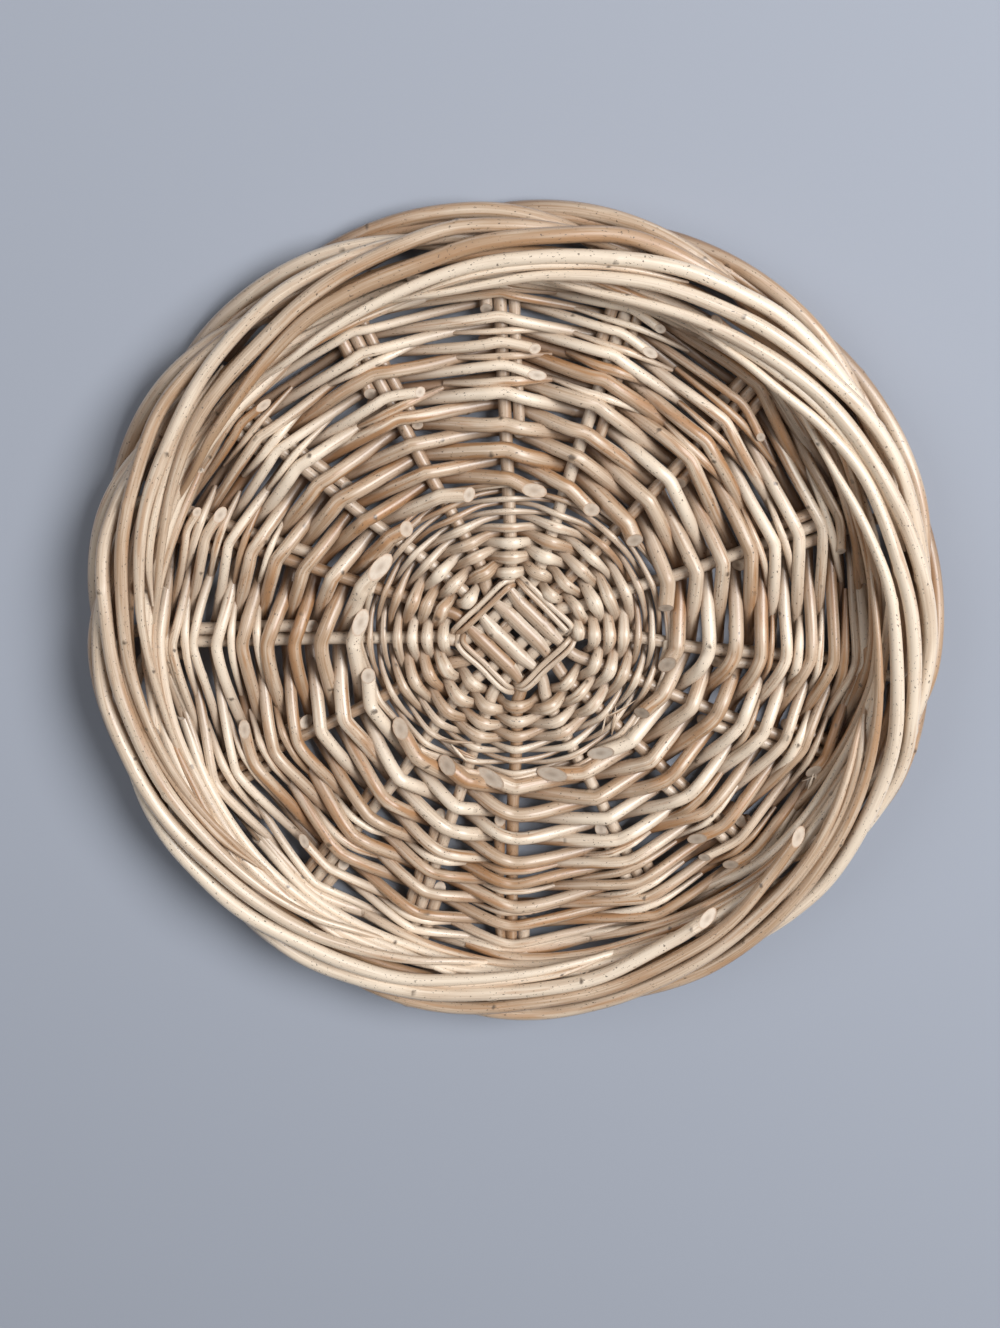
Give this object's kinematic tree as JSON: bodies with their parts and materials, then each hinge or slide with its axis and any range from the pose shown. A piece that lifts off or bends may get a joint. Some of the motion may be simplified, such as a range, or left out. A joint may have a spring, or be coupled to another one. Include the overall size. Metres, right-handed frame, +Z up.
{
  "type": "wicker tray",
  "caption": "Round shallow woven willow tray with a slanting rod weave on radiating base sticks and a rolled rod rim, for carrying, serving or display.",
  "frame": {"origin": "middle of the round tray, on the surface that it rests on", "axes": "+Z up, out of the tray's open side; +Y towards the top of the picture and +X to its right"},
  "size_m": [0.3583, 0.3575, 0.036],
  "materials": {
    "base_stick": "peeled willow sticks, satin",
    "pairing_willow": "fine peeled willow, satin",
    "weaving_willow": "peeled willow rods, satin sheen",
    "border_willow": "peeled willow rods, satin sheen",
    "wale_willow": "peeled willow rods, satin sheen"
  },
  "bodies": {
    "root": {"threaded_stick_1": "base_stick", "threaded_stick_2": "base_stick", "threaded_stick_3": "base_stick", "threaded_stick_4": "base_stick", "split_stick_1": "base_stick", "split_stick_2": "base_stick", "split_stick_3": "base_stick", "split_stick_4": "base_stick", "pairing_weaver_1": "pairing_willow", "pairing_weaver_2": "pairing_willow", "rand_weaver_1": "weaving_willow", "rand_weaver_2": "weaving_willow", "rand_weaver_3": "weaving_willow", "rand_weaver_4": "weaving_willow", "rand_weaver_5": "weaving_willow", "rand_weaver_6": "weaving_willow", "rand_weaver_7": "weaving_willow", "rand_weaver_8": "weaving_willow", "rand_weaver_9": "weaving_willow", "rand_weaver_10": "weaving_willow", "rand_weaver_11": "weaving_willow", "rand_weaver_12": "weaving_willow", "rand_weaver_13": "weaving_willow", "rand_weaver_14": "weaving_willow", "rand_weaver_15": "weaving_willow", "rand_weaver_16": "weaving_willow", "ridge_stake_1": "border_willow", "ridge_stake_2": "border_willow", "ridge_stake_3": "border_willow", "ridge_stake_4": "border_willow", "ridge_stake_5": "border_willow", "ridge_stake_6": "border_willow", "ridge_stake_7": "border_willow", "ridge_stake_8": "border_willow", "ridge_stake_9": "border_willow", "ridge_stake_10": "border_willow", "ridge_stake_11": "border_willow", "ridge_stake_12": "border_willow", "ridge_stake_13": "border_willow", "ridge_stake_14": "border_willow", "ridge_stake_15": "border_willow", "ridge_stake_16": "border_willow", "edge_stake_1": "border_willow", "edge_stake_2": "border_willow", "edge_stake_3": "border_willow", "edge_stake_4": "border_willow", "edge_stake_5": "border_willow", "edge_stake_6": "border_willow", "edge_stake_7": "border_willow", "edge_stake_8": "border_willow", "edge_stake_9": "border_willow", "edge_stake_10": "border_willow", "edge_stake_11": "border_willow", "edge_stake_12": "border_willow", "edge_stake_13": "border_willow", "edge_stake_14": "border_willow", "edge_stake_15": "border_willow", "edge_stake_16": "border_willow", "wale_rod_inner": "wale_willow", "wale_rod_outer": "wale_willow"}
  },
  "joints": []
}
